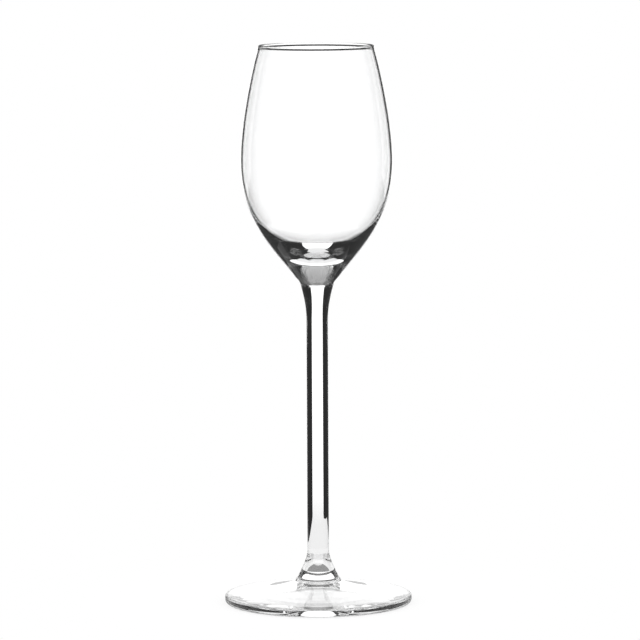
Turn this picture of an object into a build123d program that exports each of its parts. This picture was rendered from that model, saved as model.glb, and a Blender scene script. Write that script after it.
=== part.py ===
from build123d import *

import math
import os

# A stemmed sherry glass, in millimetres. The origin is at the middle of the foot's
# standing plane and +Z runs up the glass. Three pieces are formed one by one and then
# fused hot to each other: the foot, the drawn stem and the blown bowl. They meet on
# flat round weld faces, so each piece is a solid of its own.

# Foot: a shallow cone of even thickness, hollow underneath, on a flat standing ring
FOOT_DIAMETER = 67.0
FOOT_EDGE_THICKNESS = 2.9
FOOT_TOP_ROUND = 0.9
FOOT_BOTTOM_ROUND = 1.35
FOOT_SEAT_HEIGHT = 7.7
FOOT_SLOPE_AT_STEM = 21.2
FOOT_SLOPE_AT_EDGE = 4.3
FOOT_SWEEP = 9.7
STANDING_RING_WIDTH = 2.2
FOOT_HOLLOW_RISE = 5.1
FOOT_HOLLOW_ROUND = 7.7
FOOT_HOLLOW_SLOPE = 1.6
FOOT_HOLLOW_SWEEP = 18.1

# Stem: a drawn rod, tapered from the bowl and flared to a rounded lip on the foot
STEM_LENGTH = 107.1
STEM_DIAMETER = 7.7
STEM_NECK_DIAMETER = 11.9
STEM_NECK_LEAN = 14.9
STEM_NECK_SWEEP = 5.0
STEM_TAPER_LENGTH = 13.3
STEM_TAPER_SWEEP = 5.0
STEM_LIP_DIAMETER = 16.6
STEM_LIP_HEIGHT = 0.38
STEM_LIP_ROUND = 0.36
STEM_FLARE_DIAMETER = 16.2
STEM_FLARE_LEAN = 32.0
STEM_FLARE_LENGTH = 10.45
STEM_FLARE_SWEEP = 3.5
STEM_FLARE_START_SWEEP = 2.35

# Bowl: an egg-shaped cup with a fire-polished bead at its rim, on a solid tapered base
BOWL_HEIGHT = 85.2
BOWL_RIM_DIAMETER = 41.2
BOWL_RIM_LEAN = 17.5
BOWL_RIM_SWEEP = 7.3
BOWL_BELLY_DIAMETER = 54.3
BOWL_BELLY_HEIGHT = 44.1
BOWL_SHOULDER_SWEEP = 12.8
BOWL_UNDERSIDE_SWEEP = 21.7
BOWL_CONE_LEAN = 37.2
BOWL_CONE_SWEEP = 11.7
BOWL_NECK_RISE = 2.6
BOWL_NECK_STEP = 1.9
BOWL_NECK_BLEND = 1.0
BOWL_WALL = 0.83
BOWL_BEAD = 1.05
BOWL_BEAD_NECK = 0.75
BOWL_BASE_THICKNESS = 10.2
BOWL_INNER_DIAMETER = 33.9
BOWL_INNER_HEIGHT = 17.45
BOWL_INNER_LEAN = 43.9
BOWL_INNER_BELLY_SWEEP = 12.4
BOWL_INNER_CONE_SWEEP = 7.9
BOWL_FLOOR_ROUND = 3.4
BOWL_FLOOR_SWEEP = 6.7

STEM_FOOT_WELD_Z = FOOT_SEAT_HEIGHT
BOWL_STEM_WELD_Z = STEM_FOOT_WELD_Z + STEM_LENGTH
RIM_Z = BOWL_STEM_WELD_Z + BOWL_HEIGHT
FOOT_WELD_RADIUS = STEM_LIP_DIAMETER / 2
NECK_WELD_RADIUS = STEM_NECK_DIAMETER / 2


def at(radius, height):
    """A point of the outline, given by its radius and its height."""
    return Vector(radius, 0, height)


def lean(degrees):
    """The direction that goes up and inwards, this far from the vertical."""
    return Vector(-math.sin(math.radians(degrees)), 0, math.cos(math.radians(degrees)))


def slope(degrees):
    """The direction that goes outwards and down, this far from the horizontal."""
    return Vector(math.cos(math.radians(degrees)), 0, -math.sin(math.radians(degrees)))


def turned(*edges):
    """The solid that a closed outline makes when it is turned about the axis."""
    return revolve(Face(Wire(edges)), axis=Axis.Z)


def foot():
    """The foot: seat for the stem, swept cone, rounded edge, standing ring, hollow."""
    radius = FOOT_DIAMETER / 2
    seat = at(FOOT_WELD_RADIUS, STEM_FOOT_WELD_Z)
    cone_end = at(radius - FOOT_TOP_ROUND, FOOT_EDGE_THICKNESS)
    edge_top = at(radius, FOOT_EDGE_THICKNESS - FOOT_TOP_ROUND)
    edge_bottom = at(radius, FOOT_BOTTOM_ROUND)
    ring_outer = at(radius - FOOT_BOTTOM_ROUND, 0)
    ring_inner = at(radius - FOOT_BOTTOM_ROUND - STANDING_RING_WIDTH, 0)
    hollow_top = at(0, FOOT_HOLLOW_RISE)
    return turned(
        Line(at(0, STEM_FOOT_WELD_Z), seat),
        Bezier(
            seat,
            seat + slope(FOOT_SLOPE_AT_STEM) * FOOT_SWEEP,
            cone_end - slope(FOOT_SLOPE_AT_EDGE) * FOOT_SWEEP,
            cone_end,
        ),
        Bezier(cone_end, cone_end + slope(FOOT_SLOPE_AT_EDGE) * FOOT_TOP_ROUND, edge_top),
        Line(edge_top, edge_bottom),
        Bezier(edge_bottom, at(radius, 0), ring_outer),
        Line(ring_outer, ring_inner),
        Bezier(
            ring_inner,
            ring_inner - slope(FOOT_HOLLOW_SLOPE) * FOOT_HOLLOW_SWEEP,
            hollow_top + at(FOOT_HOLLOW_ROUND, 0),
            hollow_top,
        ),
        Line(hollow_top, at(0, STEM_FOOT_WELD_Z)),
    )


def stem():
    """The stem: lip on the foot, flare, straight rod and the taper up to the bowl."""
    radius = STEM_DIAMETER / 2
    weld = at(FOOT_WELD_RADIUS, STEM_FOOT_WELD_Z)
    lip = at(STEM_FLARE_DIAMETER / 2, STEM_FOOT_WELD_Z + STEM_LIP_HEIGHT)
    flare_top = at(radius, STEM_FOOT_WELD_Z + STEM_FLARE_LENGTH + STEM_LIP_HEIGHT)
    taper_bottom = at(radius, BOWL_STEM_WELD_Z - STEM_TAPER_LENGTH)
    neck = at(NECK_WELD_RADIUS, BOWL_STEM_WELD_Z)
    return turned(
        Line(at(0, STEM_FOOT_WELD_Z), weld),
        Bezier(weld, lip - lean(STEM_FLARE_LEAN) * STEM_LIP_ROUND, lip),
        Bezier(
            lip,
            lip + lean(STEM_FLARE_LEAN) * STEM_FLARE_SWEEP,
            flare_top - lean(0) * STEM_FLARE_START_SWEEP,
            flare_top,
        ),
        Line(flare_top, taper_bottom),
        Bezier(
            taper_bottom,
            taper_bottom + lean(0) * STEM_TAPER_SWEEP,
            neck - lean(-STEM_NECK_LEAN) * STEM_NECK_SWEEP,
            neck,
        ),
        Line(neck, at(0, BOWL_STEM_WELD_Z)),
        Line(at(0, BOWL_STEM_WELD_Z), at(0, STEM_FOOT_WELD_Z)),
    )


def bowl():
    """The bowl: solid base, swelling wall, rim bead and the hollow for the drink."""
    belly_radius = BOWL_BELLY_DIAMETER / 2
    belly_z = BOWL_STEM_WELD_Z + BOWL_BELLY_HEIGHT
    neck = at(NECK_WELD_RADIUS, BOWL_STEM_WELD_Z)
    cone_end = neck + at(BOWL_NECK_STEP, BOWL_NECK_RISE)
    belly = at(belly_radius, belly_z)
    inner_belly = at(belly_radius - BOWL_WALL, belly_z)
    inner_cone = at(BOWL_INNER_DIAMETER / 2, BOWL_STEM_WELD_Z + BOWL_INNER_HEIGHT)
    floor = at(0, BOWL_STEM_WELD_Z + BOWL_BASE_THICKNESS)
    up = lean(0)
    up_cone = lean(-BOWL_CONE_LEAN)
    up_inside = lean(-BOWL_INNER_LEAN)

    # The rim's bead is set square to the leaning wall and swells from it on both sides
    up_wall = lean(BOWL_RIM_LEAN)
    across_wall = at(up_wall.Z, -up_wall.X)
    half_bead = BOWL_BEAD / 2
    rim = at(BOWL_RIM_DIAMETER / 2 - half_bead, RIM_Z - half_bead)
    rim_outside = rim + across_wall * half_bead
    rim_inside = rim - across_wall * half_bead
    bead_start = rim - up_wall * BOWL_BEAD_NECK
    wall_outside = bead_start + across_wall * (BOWL_WALL / 2)
    wall_inside = bead_start - across_wall * (BOWL_WALL / 2)
    swell = up_wall * (BOWL_BEAD_NECK / 2)

    return turned(
        Line(at(0, BOWL_STEM_WELD_Z), neck),
        Bezier(
            neck,
            neck + lean(-STEM_NECK_LEAN) * BOWL_NECK_BLEND,
            cone_end - up_cone * BOWL_NECK_BLEND,
            cone_end,
        ),
        Bezier(
            cone_end,
            cone_end + up_cone * BOWL_CONE_SWEEP,
            belly - up * BOWL_UNDERSIDE_SWEEP,
            belly,
        ),
        Bezier(
            belly,
            belly + up * BOWL_SHOULDER_SWEEP,
            wall_outside - up_wall * BOWL_RIM_SWEEP,
            wall_outside,
        ),
        Bezier(wall_outside, wall_outside + swell, rim_outside - swell, rim_outside),
        ThreePointArc(rim_outside, rim + up_wall * half_bead, rim_inside),
        Bezier(rim_inside, rim_inside - swell, wall_inside + swell, wall_inside),
        Bezier(
            wall_inside,
            wall_inside - up_wall * BOWL_RIM_SWEEP,
            inner_belly + up * BOWL_SHOULDER_SWEEP,
            inner_belly,
        ),
        Bezier(
            inner_belly,
            inner_belly - up * BOWL_INNER_BELLY_SWEEP,
            inner_cone + up_inside * BOWL_INNER_CONE_SWEEP,
            inner_cone,
        ),
        Bezier(
            inner_cone,
            inner_cone - up_inside * BOWL_FLOOR_ROUND,
            floor + at(BOWL_FLOOR_SWEEP, 0),
            floor,
        ),
        Line(floor, at(0, BOWL_STEM_WELD_Z)),
    )


os.makedirs("parts", exist_ok=True)
export_step(foot(), "parts/foot.step")
export_step(stem(), "parts/stem.step")
export_step(bowl(), "parts/bowl.step")
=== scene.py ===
"""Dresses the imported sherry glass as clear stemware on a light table."""

import logging
import math
from dataclasses import dataclass
from enum import Enum, IntEnum

import bmesh
import bpy
from mathutils import Matrix, Vector
from mathutils.geometry import interpolate_bezier


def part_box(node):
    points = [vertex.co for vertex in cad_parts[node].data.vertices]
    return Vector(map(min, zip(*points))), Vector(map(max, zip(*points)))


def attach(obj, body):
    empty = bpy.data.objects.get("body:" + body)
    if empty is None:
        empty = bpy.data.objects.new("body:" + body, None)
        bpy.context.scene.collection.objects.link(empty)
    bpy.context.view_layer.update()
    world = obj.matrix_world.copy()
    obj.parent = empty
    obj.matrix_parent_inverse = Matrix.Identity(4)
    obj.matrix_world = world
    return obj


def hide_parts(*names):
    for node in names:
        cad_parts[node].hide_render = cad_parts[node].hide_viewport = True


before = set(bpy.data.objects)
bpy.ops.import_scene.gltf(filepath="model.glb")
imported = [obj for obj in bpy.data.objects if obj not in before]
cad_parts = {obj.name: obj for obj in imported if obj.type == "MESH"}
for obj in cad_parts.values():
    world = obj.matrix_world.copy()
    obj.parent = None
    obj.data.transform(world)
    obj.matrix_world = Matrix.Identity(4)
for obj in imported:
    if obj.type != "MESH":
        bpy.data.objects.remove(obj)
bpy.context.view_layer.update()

MM = 0.001
BODY = "root"
SEGMENTS = 256
WELL_SIDES = 96
MERGE = 1e-7
LIGHT_BOUNCES = 64
UPRIGHT = 90.0
WHOLE = (0.0, 1.0)
Level = float | bpy.types.NodeSocket

log = logging.getLogger("sherry_glass")


class Steps(IntEnum):
    """How many edges a stretch of a section is drawn with."""

    EDGE = 2
    RING = 3
    RIM = 8
    ROUND = 10
    NECK = 12
    ROD = 24
    SWEEP = 32
    WALL = 40
    UNDERSIDE = 56


class Ease(Enum):
    """How a level changes from its start to its end."""

    EVEN = "LINEAR"
    SOFT = "SMOOTHSTEP"


class Fullness(Enum):
    """How far a rounded corner reaches towards the corner that it rounds."""

    CIRCLE = 0.5523
    PARABOLA = 2 / 3


class Working(Enum):
    """How a piece was formed, which sets the faint marks in its surface."""

    BLOWN = "blown"
    DRAWN = "drawn"
    SPUN = "spun"


def at(radius: float, height: float) -> Vector:
    """Gives the outline point at this radius and height."""
    return Vector((radius, 0.0, height))


def lean(degrees: float) -> Vector:
    """Gives the direction that goes up and inwards, this far from the vertical."""
    angle = math.radians(degrees)
    return Vector((-math.sin(angle), 0.0, math.cos(angle)))


def slope(degrees: float) -> Vector:
    """Gives the direction that goes outwards and down, this far from level."""
    angle = math.radians(degrees)
    return Vector((math.cos(angle), 0.0, -math.sin(angle)))


class Outline:
    """Half of a turned shape's section, drawn from point to point off the axis."""

    def __init__(self, start: Vector) -> None:
        """Starts the outline.

        Args:
            start: The first point, on the axis.
        """
        self.points: list[Vector] = [start]

    def line(self, end: Vector, steps: int = 1) -> "Outline":
        """Draws a straight stretch.

        Args:
            end: Where it ends.
            steps: How many edges it has.

        Returns:
            This outline, so that stretches can be chained.
        """
        start = self.points[-1]
        self.points += [start.lerp(end, step / steps) for step in range(1, steps + 1)]
        return self

    def curve(self, leave: Vector, arrive: Vector, end: Vector, steps: int) -> "Outline":
        """Draws a smooth curve.

        Args:
            leave: The handle at the curve's start.
            arrive: The handle at its end.
            end: Where it ends.
            steps: How many edges it has.

        Returns:
            This outline.
        """
        start = self.points[-1]
        self.points += interpolate_bezier(start, leave, arrive, end, steps + 1)[1:]
        return self

    def rounded(self, corner: Vector, end: Vector, fullness: Fullness, steps: int) -> "Outline":
        """Draws a rounded corner.

        Args:
            corner: The sharp corner that is rounded off.
            end: Where the round ends.
            fullness: How far the round reaches towards the corner.
            steps: How many edges it has.

        Returns:
            This outline.
        """
        start = self.points[-1]
        leave = start.lerp(corner, fullness.value)
        arrive = end.lerp(corner, fullness.value)
        return self.curve(leave, arrive, end, steps)

    def spun(self) -> bmesh.types.BMesh:
        """Spins the outline about the axis into a closed shell.

        Returns:
            The shell, with its poles merged and its faces pointing out.
        """
        shell = bmesh.new()
        verts = [shell.verts.new(point) for point in self.points]
        edges = [shell.edges.new(pair) for pair in zip(verts, verts[1:])]
        bmesh.ops.spin(
            shell,
            geom=verts + edges,
            cent=(0, 0, 0),
            axis=(0, 0, 1),
            dvec=(0, 0, 0),
            angle=math.tau,
            steps=SEGMENTS,
            use_merge=True,
        )
        bmesh.ops.remove_doubles(shell, verts=shell.verts, dist=MERGE)
        bmesh.ops.recalc_face_normals(shell, faces=shell.faces)
        return shell


class Nodes:
    """A short way to add and join the nodes of one material or world."""

    def __init__(self, tree: bpy.types.NodeTree) -> None:
        """Empties the tree.

        Args:
            tree: The node tree that is filled.
        """
        self.tree = tree
        tree.nodes.clear()

    def add(self, kind: str, **settings: object) -> bpy.types.Node:
        """Adds a node.

        Args:
            kind: The node's type name.
            settings: Its properties, by name.

        Returns:
            The node.
        """
        node = self.tree.nodes.new(kind)
        for name, value in settings.items():
            setattr(node, name, value)
        return node

    def join(self, out: bpy.types.NodeSocket, into: bpy.types.NodeSocket) -> None:
        """Joins an output to an input."""
        self.tree.links.new(out, into)

    def put(self, given: Level, into: bpy.types.NodeSocket) -> None:
        """Sets an input to a number, or joins an output to it.

        Args:
            given: The number or the output.
            into: The input.
        """
        if isinstance(given, bpy.types.NodeSocket):
            self.join(given, into)
        else:
            into.default_value = given

    def ramp(
        self,
        along: bpy.types.NodeSocket,
        over: tuple[float, float],
        levels: tuple[Level, Level],
        ease: Ease = Ease.EVEN,
    ) -> bpy.types.NodeSocket:
        """Adds a change from one level to another.

        Args:
            along: The measure that the level follows.
            over: The measures where the change starts and ends.
            levels: The level before the change and the level after it.
            ease: How it changes in between.

        Returns:
            The level.
        """
        node = self.add("ShaderNodeMapRange", interpolation_type=ease.value)
        names = ("Value", "From Min", "From Max", "To Min", "To Max")
        for name, given in zip(names, (along, *over, *levels)):
            self.put(given, node.inputs[name])
        return node.outputs["Result"]

    def level_by_ray(self, mirrored: Level, through: Level) -> bpy.types.NodeSocket:
        """Adds a brightness that is white in view and on matt surfaces.

        Args:
            mirrored: The brightness where the glass mirrors it.
            through: The brightness where it is seen through the glass.

        Returns:
            The brightness.
        """
        path = self.add("ShaderNodeLightPath")
        in_glass = self.ramp(path.outputs["Is Transmission Ray"], WHOLE, (mirrored, through))
        plain = self.add("ShaderNodeMath", operation="ADD", use_clamp=True)
        self.join(path.outputs["Is Camera Ray"], plain.inputs[0])
        self.join(path.outputs["Is Diffuse Ray"], plain.inputs[1])
        return self.ramp(plain.outputs["Value"], WHOLE, (in_glass, 1.0))


@dataclass(frozen=True)
class ClearGlass:
    """Clear colourless glass with the faint surface marks of how it was worked."""

    name: str
    working: Working
    tint: tuple[float, float, float] = (0.998, 0.999, 1.0)
    index: float = 1.52
    mark_height: float = 0.006 * MM
    roughest: float = 0.01
    ring_scale: float = 60.0
    ring_waver: float = 1.5
    wave_scale: float = 110.0
    detail: float = 1.0
    draw: tuple[float, float, float] = (6.0, 6.0, 0.15)

    def marks(self, nodes: Nodes) -> bpy.types.NodeSocket:
        """Adds the texture of the working marks.

        Args:
            nodes: The material's nodes.

        Returns:
            The marks' height, from 0 to 1.
        """
        place = nodes.add("ShaderNodeTexCoord")
        stretch = nodes.add("ShaderNodeMapping")
        nodes.join(place.outputs["Object"], stretch.inputs["Vector"])
        if self.working is Working.SPUN:
            rings = nodes.add("ShaderNodeTexWave", wave_type="RINGS", rings_direction="Z")
            rings.inputs["Scale"].default_value = self.ring_scale
            rings.inputs["Distortion"].default_value = self.ring_waver
            rings.inputs["Detail"].default_value = self.detail
            nodes.join(stretch.outputs["Vector"], rings.inputs["Vector"])
            return rings.outputs["Fac"]
        waves = nodes.add("ShaderNodeTexNoise")
        waves.inputs["Detail"].default_value = self.detail
        waves.inputs["Scale"].default_value = self.wave_scale
        if self.working is Working.DRAWN:
            stretch.inputs["Scale"].default_value = self.draw
        nodes.join(stretch.outputs["Vector"], waves.inputs["Vector"])
        return waves.outputs["Fac"]

    def material(self) -> bpy.types.Material:
        """Makes the material.

        Returns:
            The glass, with its marks as bump and a hint of roughness.
        """
        made = bpy.data.materials.new(self.name)
        made.use_nodes = True
        nodes = Nodes(made.node_tree)
        out = nodes.add("ShaderNodeOutputMaterial")
        glass = nodes.add("ShaderNodeBsdfPrincipled")
        glass.inputs["Base Color"].default_value = (*self.tint, 1.0)
        glass.inputs["Transmission Weight"].default_value = 1.0
        glass.inputs["IOR"].default_value = self.index
        height = self.marks(nodes)
        bump = nodes.add("ShaderNodeBump")
        bump.inputs["Distance"].default_value = self.mark_height
        nodes.join(height, bump.inputs["Height"])
        nodes.join(bump.outputs["Normal"], glass.inputs["Normal"])
        polish = nodes.ramp(height, WHOLE, (0.0, self.roughest))
        nodes.join(polish, glass.inputs["Roughness"])
        nodes.join(glass.outputs["BSDF"], out.inputs["Surface"])
        return made


@dataclass(frozen=True)
class HotWeld:
    """The inside of a hot weld, where two pieces are one glass and light goes through."""

    name: str = "hot_weld"
    clearest: float = 1.0
    cloudiest: float = 0.97
    cloud_scale: float = 400.0

    def material(self) -> bpy.types.Material:
        """Makes the material.

        Returns:
            A face that light passes straight through, faintly clouded.
        """
        made = bpy.data.materials.new(self.name)
        made.use_nodes = True
        nodes = Nodes(made.node_tree)
        out = nodes.add("ShaderNodeOutputMaterial")
        through = nodes.add("ShaderNodeBsdfTransparent")
        place = nodes.add("ShaderNodeTexCoord")
        cloud = nodes.add("ShaderNodeTexNoise")
        cloud.inputs["Scale"].default_value = self.cloud_scale
        nodes.join(place.outputs["Object"], cloud.inputs["Vector"])
        shade = nodes.ramp(cloud.outputs["Fac"], WHOLE, (self.cloudiest, self.clearest))
        nodes.join(shade, through.inputs["Color"])
        nodes.join(through.outputs["BSDF"], out.inputs["Surface"])
        return made


@dataclass
class GlassPiece:
    """A turned piece of glass that stands for one node of the frame."""

    name: str
    node: str
    slot: str
    finish: ClearGlass

    def __post_init__(self) -> None:
        """Reads where the node lies in the frame."""
        low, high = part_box(self.node)
        self.bottom: float = low.z
        self.top: float = high.z
        self.widest: float = high.x

    def outline(self) -> Outline:
        """Draws the piece's section."""
        raise NotImplementedError

    def weld_heights(self) -> tuple[float, ...]:
        """Gives the heights of the flat faces that are welded to a neighbour."""
        raise NotImplementedError

    def shell(self) -> bmesh.types.BMesh:
        """Spins the section and marks the faces that are welded to a neighbour.

        Returns:
            The closed shell, smooth but for the rims of its weld faces.
        """
        shell = self.outline().spun()
        for face in shell.faces:
            welded = any(
                all(abs(vert.co.z - height) < MERGE for vert in face.verts)
                for height in self.weld_heights()
            )
            face.smooth = not welded
            face.material_index = int(welded)
        return shell

    def build(self, weld: bpy.types.Material) -> bpy.types.Object:
        """Builds and dresses the piece.

        Args:
            weld: The material of the faces that are welded to a neighbour.

        Returns:
            The piece, riding on the glass's one body.
        """
        mesh = bpy.data.meshes.new(self.name)
        shell = self.shell()
        shell.to_mesh(mesh)
        shell.free()
        mesh.materials.append(self.finish.material())
        mesh.materials.append(weld)
        piece = bpy.data.objects.new(self.name, mesh)
        bpy.context.scene.collection.objects.link(piece)
        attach(piece, BODY)
        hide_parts(self.node)
        log.info("%s: %d faces for node %s", self.name, len(mesh.polygons), self.node)
        return piece


@dataclass
class Foot(GlassPiece):
    """The disc that the glass stands on."""

    name: str = "spun_foot"
    node: str = "foot"
    slot: str = "foot_glass"
    finish: ClearGlass = ClearGlass("spun_glass", Working.SPUN)
    seat_radius: float = 8.3 * MM
    edge_thickness: float = 2.9 * MM
    top_round: float = 0.9 * MM
    bottom_round: float = 1.35 * MM
    slope_at_stem: float = 21.2
    slope_at_edge: float = 4.3
    sweep: float = 9.7 * MM
    ring_width: float = 2.2 * MM
    hollow_rise: float = 5.1 * MM
    hollow_slope: float = 1.6
    hollow_sweep: float = 18.1 * MM
    hollow_round: float = 7.7 * MM

    def weld_heights(self) -> tuple[float, ...]:
        """Gives the height of the seat for the stem."""
        return (self.top,)

    def outline(self) -> Outline:
        """Draws the hollow, the standing ring, the edge and the cone up to the seat.

        Returns:
            The foot's section.
        """
        ring_outer = at(self.widest - self.bottom_round, self.bottom)
        ring_inner = ring_outer - at(self.ring_width, 0)
        edge_bottom = at(self.widest, self.bottom + self.bottom_round)
        edge_top = at(self.widest, self.bottom + self.edge_thickness - self.top_round)
        cone_end = at(self.widest - self.top_round, self.bottom + self.edge_thickness)
        seat = at(self.seat_radius, self.top)
        hollow_top = at(0, self.bottom + self.hollow_rise)
        outline = Outline(hollow_top)
        outline.curve(
            hollow_top + at(self.hollow_round, 0),
            ring_inner - slope(self.hollow_slope) * self.hollow_sweep,
            ring_inner,
            Steps.SWEEP,
        )
        outline.line(ring_outer, Steps.RING)
        corner = at(self.widest, self.bottom)
        outline.rounded(corner, edge_bottom, Fullness.PARABOLA, Steps.ROUND)
        outline.line(edge_top, Steps.EDGE)
        corner = cone_end + slope(self.slope_at_edge) * self.top_round
        outline.rounded(corner, cone_end, Fullness.PARABOLA, Steps.ROUND)
        outline.curve(
            cone_end - slope(self.slope_at_edge) * self.sweep,
            seat + slope(self.slope_at_stem) * self.sweep,
            seat,
            Steps.SWEEP,
        )
        return outline.line(at(0, self.top))


@dataclass
class Stem(GlassPiece):
    """The rod between the foot and the bowl."""

    name: str = "drawn_stem"
    node: str = "stem"
    slot: str = "stem_glass"
    finish: ClearGlass = ClearGlass("drawn_glass", Working.DRAWN)
    diameter: float = 7.7 * MM
    neck_diameter: float = 11.9 * MM
    neck_lean: float = 14.9
    neck_sweep: float = 5.0 * MM
    taper_length: float = 13.3 * MM
    taper_sweep: float = 5.0 * MM
    seat_radius: float = 8.3 * MM
    lip_height: float = 0.38 * MM
    lip_round: float = 0.36 * MM
    flare_diameter: float = 16.2 * MM
    flare_lean: float = 32.0
    flare_length: float = 10.45 * MM
    flare_sweep: float = 3.5 * MM
    flare_start_sweep: float = 2.35 * MM

    def weld_heights(self) -> tuple[float, ...]:
        """Gives the heights of the welds to the foot and to the bowl."""
        return (self.bottom, self.top)

    def outline(self) -> Outline:
        """Draws the lip, the flare, the rod and the taper.

        Returns:
            The stem's section.
        """
        radius = self.diameter / 2
        seat = at(self.seat_radius, self.bottom)
        lip = at(self.flare_diameter / 2, self.bottom + self.lip_height)
        flare_top = at(radius, lip.z + self.flare_length)
        taper_bottom = at(radius, self.top - self.taper_length)
        neck = at(self.neck_diameter / 2, self.top)
        outline = Outline(at(0, self.bottom)).line(seat)
        corner = lip - lean(self.flare_lean) * self.lip_round
        outline.rounded(corner, lip, Fullness.PARABOLA, Steps.ROUND)
        outline.curve(
            lip + lean(self.flare_lean) * self.flare_sweep,
            flare_top - lean(0) * self.flare_start_sweep,
            flare_top,
            Steps.WALL,
        )
        outline.line(taper_bottom, Steps.ROD)
        outline.curve(
            taper_bottom + lean(0) * self.taper_sweep,
            neck - lean(-self.neck_lean) * self.neck_sweep,
            neck,
            Steps.SWEEP,
        )
        return outline.line(at(0, self.top))


@dataclass
class Bowl(GlassPiece):
    """The cup, with its rounded rim and its solid base."""

    name: str = "blown_bowl"
    node: str = "bowl"
    slot: str = "bowl_glass"
    finish: ClearGlass = ClearGlass("blown_glass", Working.BLOWN)
    rim_diameter: float = 41.2 * MM
    rim_lean: float = 17.5
    bead: float = 1.05 * MM
    bead_neck: float = 0.75 * MM
    rim_sweep: float = 7.3 * MM
    belly_height: float = 44.1 * MM
    shoulder_sweep: float = 12.8 * MM
    underside_sweep: float = 21.7 * MM
    cone_lean: float = 37.2
    cone_sweep: float = 11.7 * MM
    neck_diameter: float = 11.9 * MM
    neck_lean: float = 14.9
    neck_rise: float = 2.6 * MM
    neck_step: float = 1.9 * MM
    neck_blend: float = 1.0 * MM
    wall: float = 0.83 * MM
    base_thickness: float = 10.2 * MM
    inner_radius: float = 16.95 * MM
    inner_height: float = 17.45 * MM
    inner_lean: float = 43.9
    inner_belly_sweep: float = 12.4 * MM
    inner_cone_sweep: float = 7.9 * MM
    floor_round: float = 3.4 * MM
    floor_sweep: float = 6.7 * MM

    def weld_heights(self) -> tuple[float, ...]:
        """Gives the height of the weld to the stem."""
        return (self.bottom,)

    def outline(self) -> Outline:
        """Draws the base, the outside, the rim and the hollow.

        Returns:
            The bowl's section.
        """
        half = self.wall / 2
        round_off = self.bead / 2
        up = lean(0)
        up_wall = lean(self.rim_lean)
        across = at(up_wall.z, -up_wall.x)
        up_cone = lean(-self.cone_lean)
        neck = at(self.neck_diameter / 2, self.bottom)
        cone_end = neck + at(self.neck_step, self.neck_rise)
        belly = at(self.widest, self.bottom + self.belly_height)
        inner_belly = belly - at(self.wall, 0)
        rim = at(self.rim_diameter / 2 - round_off, self.top - round_off)
        rim_top = rim + up_wall * round_off
        rim_outside = rim + across * round_off
        rim_inside = rim - across * round_off
        wall_end = rim - up_wall * self.bead_neck
        wall_outside = wall_end + across * half
        wall_inside = wall_end - across * half
        neck_handle = up_wall * self.bead_neck / 2
        hollow = at(0, self.bottom + self.base_thickness)
        inner_end = at(self.inner_radius, self.bottom + self.inner_height)
        up_inside = lean(-self.inner_lean)
        outline = Outline(at(0, self.bottom)).line(neck)
        outline.curve(
            neck + lean(-self.neck_lean) * self.neck_blend,
            cone_end - up_cone * self.neck_blend,
            cone_end,
            Steps.NECK,
        )
        outline.curve(
            cone_end + up_cone * self.cone_sweep,
            belly - up * self.underside_sweep,
            belly,
            Steps.UNDERSIDE,
        )
        outline.curve(
            belly + up * self.shoulder_sweep,
            wall_outside - up_wall * self.rim_sweep,
            wall_outside,
            Steps.WALL,
        )
        outline.curve(
            wall_outside + neck_handle,
            rim_outside - neck_handle,
            rim_outside,
            Steps.ROUND,
        )
        corner = rim_outside + up_wall * round_off
        outline.rounded(corner, rim_top, Fullness.CIRCLE, Steps.RIM)
        corner = rim_inside + up_wall * round_off
        outline.rounded(corner, rim_inside, Fullness.CIRCLE, Steps.RIM)
        outline.curve(
            rim_inside - neck_handle,
            wall_inside + neck_handle,
            wall_inside,
            Steps.ROUND,
        )
        outline.curve(
            wall_inside - up_wall * self.rim_sweep,
            inner_belly + up * self.shoulder_sweep,
            inner_belly,
            Steps.WALL,
        )
        outline.curve(
            inner_belly - up * self.inner_belly_sweep,
            inner_end + up_inside * self.inner_cone_sweep,
            inner_end,
            Steps.WALL,
        )
        return outline.curve(
            inner_end - up_inside * self.floor_round,
            hollow + at(self.floor_sweep, 0),
            hollow,
            Steps.WALL,
        )


@dataclass
class ProductCamera:
    """A long lens a little above the rim, as the photograph was taken."""

    distance: float = 1520.0 * MM
    height: float = 269.5 * MM
    pitch: float = 6.295
    lens: float = 240.8
    sensor: float = 36.0
    aside: float = 1.0 * MM
    roll: float = -0.25

    def build(self) -> bpy.types.Object:
        """Makes the camera.

        Returns:
            The camera, set as the scene's own.
        """
        data = bpy.data.cameras.new("product_camera")
        data.lens = self.lens
        data.sensor_width = self.sensor
        camera = bpy.data.objects.new("product_camera", data)
        camera.location = (self.aside, -self.distance, self.height)
        tip = Matrix.Rotation(math.radians(UPRIGHT - self.pitch), 4, "X")
        turn = Matrix.Rotation(math.radians(self.roll), 4, "Z")
        camera.rotation_euler = (tip @ turn).to_euler()
        bpy.context.scene.collection.objects.link(camera)
        bpy.context.scene.camera = camera
        return camera


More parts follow.
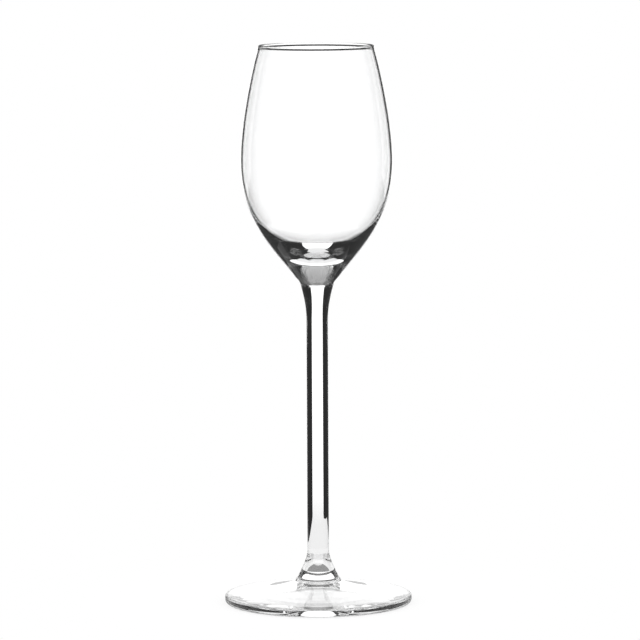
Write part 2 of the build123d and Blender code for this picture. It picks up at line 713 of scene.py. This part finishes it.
@dataclass
class Studio:
    """A light table in front of a bright card, with dark surroundings."""

    # The light table, with its far corners cut and a run of it on to the back card
    left: float = -137.0 * MM
    right: float = 130.0 * MM
    front: float = -60.0 * MM
    back: float = 177.0 * MM
    left_cut: tuple[float, float] = (57.0 * MM, 38.0 * MM)
    right_cut: tuple[float, float] = (55.0 * MM, 170.0 * MM)
    run_side: float = 75.0 * MM
    table_drop: float = 0.05 * MM
    table_through: float = 0.94
    table_mirrored: float = 0.16
    behind_start: float = 34.0 * MM
    behind_full: float = 68.0 * MM
    behind_mirrored: float = 0.5

    # The well in the table, under the foot, whose low-glowing floor is painted shade: the shade
    # under the foot's middle, seen down through the stem
    well_radius: float = 18.0 * MM
    well_depth: float = 22.0 * MM
    well_painted_shade_level: float = 0.28

    # The share of plain matt white about the foot, which takes its shadow
    shade_radius: float = 110.0 * MM
    shade_share: float = 0.25
    shade_white: tuple[float, float, float] = (0.95, 0.95, 0.95)

    # The back card, by angles from the glass: its sides lean in from the bend to the step
    card_gap: float = 330.0 * MM
    card_spread: float = 21.9
    card_rise: float = 23.6
    card_fall: float = 36.0
    card_bend: float = 1.0
    card_step: float = 16.0
    upper_left: float = 20.0
    upper_right: float = 17.2
    card_level: float = 1.3

    # The side cards, which show only in mirror images
    side_start: float = 36.0
    side_end: float = 65.0
    side_low: float = -4.0
    side_high: float = 45.0
    side_level: float = 1.4

    # The top card and the surroundings, which brighten towards the ceiling
    top_height: float = 500.0 * MM
    top_side: float = 130.0 * MM
    top_front: float = -500.0 * MM
    top_back: float = 1100.0 * MM
    top_level: float = 0.22
    dark: float = 0.02
    mirrored: float = 0.12
    ceiling_start: float = 20.0
    ceiling_full: float = 32.0
    ceiling_level: float = 1.4

    def glow(self, name: str, mirrored: float, through: float) -> bpy.types.Material:
        """Makes the even white of a card.

        Args:
            name: The material's name.
            mirrored: Its brightness where the glass mirrors it, where 1 is white.
            through: Its brightness where it is seen through the glass.

        Returns:
            The material.
        """
        made = bpy.data.materials.new(name)
        made.use_nodes = True
        made.cycles.emission_sampling = "NONE"
        nodes = Nodes(made.node_tree)
        out = nodes.add("ShaderNodeOutputMaterial")
        light = nodes.add("ShaderNodeEmission")
        level = nodes.level_by_ray(mirrored, through)
        nodes.join(level, light.inputs["Strength"])
        nodes.join(light.outputs["Emission"], out.inputs["Surface"])
        return made

    def sheet(
        self,
        name: str,
        low: Vector,
        high: Vector,
        finish: bpy.types.Material,
        left_cut: tuple[float, float] = (0.0, 0.0),
        right_cut: tuple[float, float] = (0.0, 0.0),
        hole: float = 0.0,
    ) -> bpy.types.Object:
        """Makes a flat sheet, whose far corners may be cut off.

        Args:
            name: Its name.
            low: Its near left corner.
            high: Its far right corner.
            finish: Its material.
            left_cut: How much is cut off its far left corner, across and along.
            right_cut: How much is cut off its far right corner, across and along.
            hole: The radius of a round hole about the glass's axis, or 0 for none.

        Returns:
            The sheet, which isn't part of the glass.
        """
        corners = [
            low,
            Vector((high.x, low.y, low.z)),
            Vector((high.x, high.y - right_cut[1], low.z)),
            Vector((high.x - right_cut[0], high.y, low.z)),
            Vector((low.x + left_cut[0], high.y, low.z)),
            Vector((low.x, high.y - left_cut[1], low.z)),
        ]
        flat = bmesh.new()
        bmesh.ops.contextual_create(flat, geom=[flat.verts.new(corner) for corner in corners])
        bmesh.ops.remove_doubles(flat, verts=flat.verts, dist=MERGE)
        if hole:
            bmesh.ops.delete(flat, geom=flat.faces[:], context="FACES_ONLY")
            level = Matrix.Translation((0.0, 0.0, low.z))
            bmesh.ops.create_circle(flat, segments=WELL_SIDES, radius=hole, matrix=level)
            bmesh.ops.triangle_fill(flat, use_beauty=True, edges=flat.edges[:])
        return self.stand(name, flat, finish)

    def stand(
        self, name: str, shape: bmesh.types.BMesh, *finishes: bpy.types.Material
    ) -> bpy.types.Object:
        """Stands a shape in the studio that isn't part of the glass.

        Args:
            name: Its name.
            shape: The shape, which is used up.
            finishes: Its materials, in the order of its faces' numbers.

        Returns:
            The shape, which isn't part of the glass.
        """
        mesh = bpy.data.meshes.new(name)
        shape.to_mesh(mesh)
        shape.free()
        for finish in finishes:
            mesh.materials.append(finish)
        made = bpy.data.objects.new(name, mesh)
        bpy.context.scene.collection.objects.link(made)
        return made

    def well(self) -> None:
        """Sinks a well in the light table, out of sight under the foot; its low-glowing floor
        is painted shade, the shade under the foot's middle as seen down through the stem.
        """
        shape = bmesh.new()
        bmesh.ops.create_cone(
            shape,
            cap_ends=True,
            segments=WELL_SIDES,
            radius1=self.well_radius,
            radius2=self.well_radius,
            depth=self.well_depth,
            matrix=Matrix.Translation((0.0, 0.0, -self.table_drop - self.well_depth / 2)),
        )
        caps = [face for face in shape.faces if len(face.verts) == WELL_SIDES]
        floor, lid = sorted(caps, key=lambda face: face.calc_center_median().z)
        floor.material_index = 1
        bmesh.ops.delete(shape, geom=[lid], context="FACES_ONLY")
        sides = self.glow("well_sides", self.table_mirrored, self.table_through)
        # The well's floor glows low: painted shade under the foot's middle
        painted_shade_floor = self.glow("well_painted_shade_floor", self.table_mirrored, self.well_painted_shade_level)
        self.stand("table_well", shape, sides, painted_shade_floor)

    def table_finish(self) -> bpy.types.Material:
        """Makes the light table's white, which keeps a soft shadow near the foot.

        Returns:
            The material.
        """
        made = bpy.data.materials.new("light_table")
        made.use_nodes = True
        made.cycles.emission_sampling = "NONE"
        nodes = Nodes(made.node_tree)
        out = nodes.add("ShaderNodeOutputMaterial")
        light = nodes.add("ShaderNodeEmission")
        place = nodes.add("ShaderNodeTexCoord")
        along = nodes.add("ShaderNodeSeparateXYZ")
        nodes.join(place.outputs["Object"], along.inputs["Vector"])
        through = nodes.ramp(
            along.outputs["Y"],
            (self.back, self.card_gap),
            (self.table_through, self.card_level),
        )
        mirrored = nodes.ramp(
            along.outputs["Y"],
            (self.behind_start, self.behind_full),
            (self.table_mirrored, self.behind_mirrored),
            Ease.SOFT,
        )
        nodes.join(nodes.level_by_ray(mirrored, through), light.inputs["Strength"])
        span = nodes.add("ShaderNodeVectorMath", operation="LENGTH")
        nodes.join(place.outputs["Object"], span.inputs[0])
        share = nodes.ramp(
            span.outputs["Value"],
            (0.0, self.shade_radius),
            (self.shade_share, 0.0),
            Ease.SOFT,
        )
        matt = nodes.add("ShaderNodeBsdfDiffuse")
        matt.inputs["Color"].default_value = (*self.shade_white, 1.0)
        blend = nodes.add("ShaderNodeMixShader")
        nodes.join(share, blend.inputs["Fac"])
        nodes.join(light.outputs["Emission"], blend.inputs[1])
        nodes.join(matt.outputs["BSDF"], blend.inputs[2])
        nodes.join(blend.outputs["Shader"], out.inputs["Surface"])
        return made

    def away(self, degrees: float) -> float:
        """Gives how far off its middle the back card lies at this angle from the glass."""
        return self.card_gap * math.tan(math.radians(degrees))

    def hang(self, card: bpy.types.Object, camera: bpy.types.Object, depth: float) -> None:
        """Hangs a card square to the camera, seen only in the glass.

        Args:
            card: The card.
            camera: The camera that it turns with.
            depth: How far in front of the camera it is.
        """
        card.parent = camera
        card.location = (0.0, 0.0, -depth)
        card.visible_camera = False
        card.visible_diffuse = False
        card.visible_shadow = False

    def world(self) -> None:
        """Makes the surroundings: white in view, dark where only the glass shows them."""
        made = bpy.data.worlds.new("studio")
        made.use_nodes = True
        nodes = Nodes(made.node_tree)
        out = nodes.add("ShaderNodeOutputWorld")
        air = nodes.add("ShaderNodeBackground")
        air.inputs["Color"].default_value = (1.0, 1.0, 1.0, 1.0)
        place = nodes.add("ShaderNodeTexCoord")
        height = nodes.add("ShaderNodeSeparateXYZ")
        nodes.join(place.outputs["Generated"], height.inputs["Vector"])
        start = math.sin(math.radians(self.ceiling_start))
        full = math.sin(math.radians(self.ceiling_full))
        levels = (self.mirrored, self.ceiling_level)
        ceiling = nodes.ramp(height.outputs["Z"], (start, full), levels, Ease.SOFT)
        nodes.join(nodes.level_by_ray(ceiling, self.dark), air.inputs["Strength"])
        nodes.join(air.outputs["Background"], out.inputs["Surface"])
        bpy.context.scene.world = made

    def table(self) -> None:
        """Builds the light table, the well in it with its floor of painted shade, and the run
        on to the back card.
        """
        finish = self.table_finish()
        floor = Vector((0, 0, -self.table_drop))
        low = floor + Vector((self.left, self.front, 0))
        high = floor + Vector((self.right, self.back, 0))
        cuts = (self.left_cut, self.right_cut)
        self.sheet("light_table", low, high, finish, *cuts, self.well_radius)
        self.well()
        low = floor + Vector((-self.run_side, self.back, 0))
        high = floor + Vector((self.run_side, self.card_gap, 0))
        self.sheet("table_run", low, high, finish)

    def cards(self, camera: bpy.types.Object) -> None:
        """Hangs the back card in its two parts, the side cards and the top card.

        Args:
            camera: The camera that the cards turn with.
        """
        depth = camera.location.length + self.card_gap
        finish = self.glow("back_card", self.card_level, self.card_level)
        low = Vector((self.away(-self.card_spread), self.away(-self.card_fall), 0))
        high = Vector((self.away(self.card_spread), self.away(self.card_step), 0))
        lean_in = self.away(self.card_step) - self.away(self.card_bend)
        left_cut = (self.away(self.card_spread) - self.away(self.upper_left), lean_in)
        right_cut = (self.away(self.card_spread) - self.away(self.upper_right), lean_in)
        card = self.sheet("back_card", low, high, finish, left_cut, right_cut)
        self.hang(card, camera, depth)
        low = Vector((self.away(-self.upper_left), self.away(self.card_step), 0))
        high = Vector((self.away(self.upper_right), self.away(self.card_rise), 0))
        self.hang(self.sheet("upper_card", low, high, finish), camera, depth)
        finish = self.glow("side_card", self.side_level, self.dark)
        for name, near, far in (
            ("left_card", -self.side_end, -self.side_start),
            ("right_card", self.side_start, self.side_end),
        ):
            low = Vector((self.away(near), self.away(self.side_low), 0))
            high = Vector((self.away(far), self.away(self.side_high), 0))
            self.hang(self.sheet(name, low, high, finish), camera, depth)
        low = Vector((-self.top_side, self.top_front, self.top_height))
        high = Vector((self.top_side, self.top_back, self.top_height))
        finish = self.glow("top_card", self.ceiling_level, self.top_level)
        top = self.sheet("top_card", low, high, finish)
        self.hang(top, camera, 0.0)
        top.matrix_parent_inverse = camera.matrix_basis.inverted()

    def build(self, camera: bpy.types.Object) -> None:
        """Builds the light table, the cards and the surroundings.

        Args:
            camera: The camera that the cards turn with.
        """
        self.table()
        self.cards(camera)
        self.world()


def main() -> None:
    """Builds the glass, the studio and the camera."""
    logging.basicConfig(level=logging.INFO)
    scene = bpy.context.scene
    scene.view_settings.view_transform = "Standard"
    scene.cycles.max_bounces = LIGHT_BOUNCES
    scene.cycles.glossy_bounces = LIGHT_BOUNCES
    scene.cycles.transmission_bounces = LIGHT_BOUNCES
    scene.cycles.transparent_max_bounces = LIGHT_BOUNCES
    weld = HotWeld().material()
    for piece in (Foot(), Stem(), Bowl()):
        piece.build(weld)
    camera = ProductCamera().build()
    Studio().build(camera)


if __name__ == "__main__":
    main()
